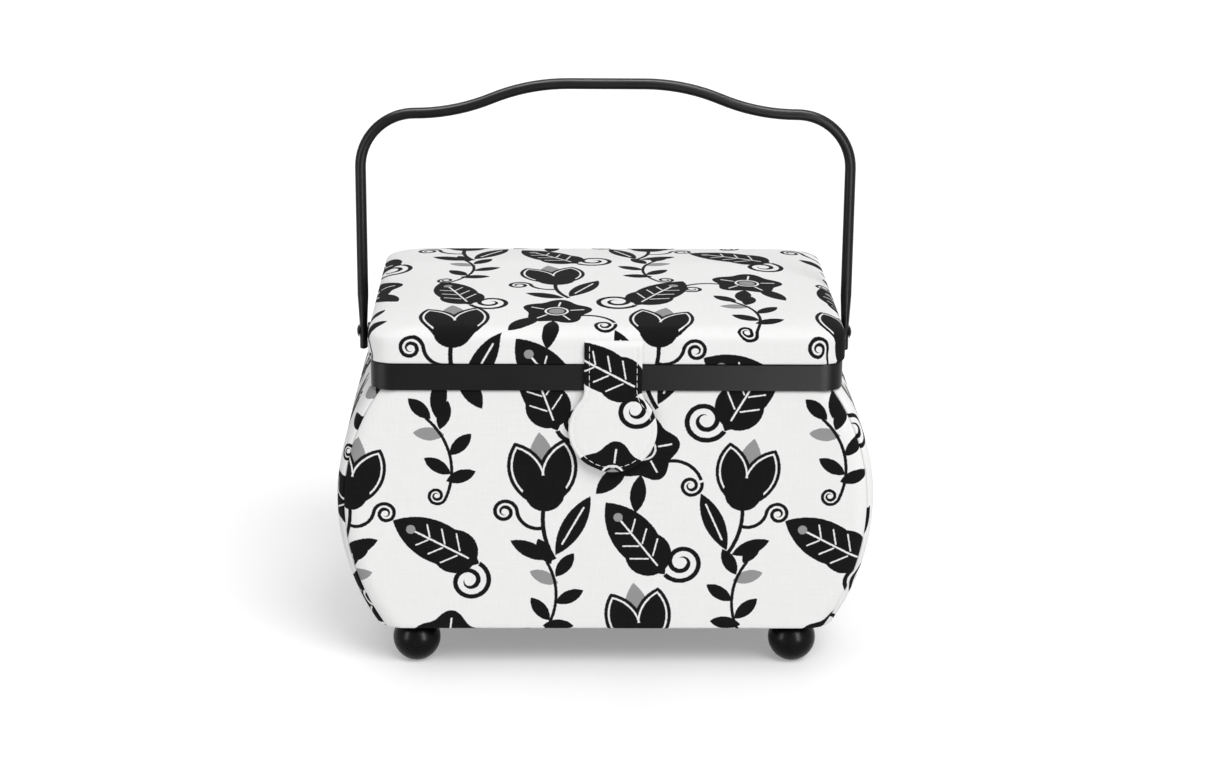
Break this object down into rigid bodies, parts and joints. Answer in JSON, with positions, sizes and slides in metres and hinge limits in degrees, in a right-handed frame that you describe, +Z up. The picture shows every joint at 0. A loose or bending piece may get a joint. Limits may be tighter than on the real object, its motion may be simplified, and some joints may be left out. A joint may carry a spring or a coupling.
{
  "type": "sewing box",
  "caption": "Cloth-covered sewing box with bowed ends on ball feet, a padded hinged lid with a closing tab, a swinging carry handle and an insert tray.",
  "frame": {"origin": "on the floor, under the centre of the box", "axes": "+Z up, front with the closing tab towards -Y, +X to the right seen from the front"},
  "size_m": [0.278, 0.1806, 0.2984],
  "materials": {
    "printed_cloth": "woven cotton, black and grey print on white",
    "lining_cloth": "pale grey quilted cotton",
    "pincushion_cloth": "black cotton, stuffed",
    "base_felt": "black non-woven cloth",
    "foam": "soft foam under the cover",
    "board": "fibre board",
    "rail_wood": "planed softwood",
    "black_lacquer": "turned wood, gloss black lacquer",
    "black_plastic": "moulded, satin",
    "tray_plastic": "moulded, satin",
    "black_enamel": "satin black enamel on steel",
    "nickel_steel": "nickel-plated steel"
  },
  "bodies": {
    "box": {"front_panel": "board", "back_panel": "board", "left_end_panel": "board", "right_end_panel": "board", "bottom_board": "board", "rim_core": "board", "front_cover": "printed_cloth", "back_cover": "printed_cloth", "left_end_cover": "printed_cloth", "right_end_cover": "printed_cloth", "wall_lining": "lining_cloth", "floor_pad": "lining_cloth", "base_cloth": "base_felt", "front_tray_rail": "rail_wood", "back_tray_rail": "rail_wood", "foot_front_left": "black_lacquer", "foot_front_right": "black_lacquer", "foot_back_left": "black_lacquer", "foot_back_right": "black_lacquer", "rim_band": "black_plastic", "left_pivot_spacer": "black_plastic", "right_pivot_spacer": "black_plastic", "insert_tray": "tray_plastic", "left_pivot_screw": "black_enamel", "right_pivot_screw": "black_enamel", "foot_screws": "nickel_steel", "left_hinge_box_leaf": "nickel_steel", "right_hinge_box_leaf": "nickel_steel", "left_hinge_pin": "nickel_steel", "right_hinge_pin": "nickel_steel", "box_hinge_screws": "nickel_steel", "snap_stud": "nickel_steel"},
    "lid": {"lid_frame": "board", "lid_board": "board", "lid_pad": "foam", "lid_cover": "printed_cloth", "lid_lining": "lining_cloth", "pincushion": "pincushion_cloth", "lid_pocket": "lining_cloth", "left_hinge_lid_leaf": "nickel_steel", "right_hinge_lid_leaf": "nickel_steel", "lid_hinge_screws": "nickel_steel", "tab_root": "printed_cloth"},
    "handle": {"handle": "black_enamel"},
    "tab": {"tab_flap": "printed_cloth", "snap_socket": "nickel_steel"}
  },
  "joints": [
    {"name": "lid_hinge", "type": "hinge", "parent": "box", "child": "lid", "pos_m": [0, 0.0893, 0.16815], "axis": [-1, 0, 0], "range_deg": [0, 100]},
    {"name": "handle_swing", "type": "hinge", "parent": "box", "child": "handle", "pos_m": [0, 0, 0.161], "axis": [-1, 0, 0], "range_deg": [-90, 90]},
    {"name": "tab_fold", "type": "hinge", "parent": "lid", "child": "tab", "pos_m": [0.003, -0.0885, 0.1693], "axis": [-1, 0, 0], "range_deg": [0, 100]}
  ],
  "couplings": [
    {"joint": "handle_swing", "follows": "lid_hinge", "ratio": 0.9}
  ]
}
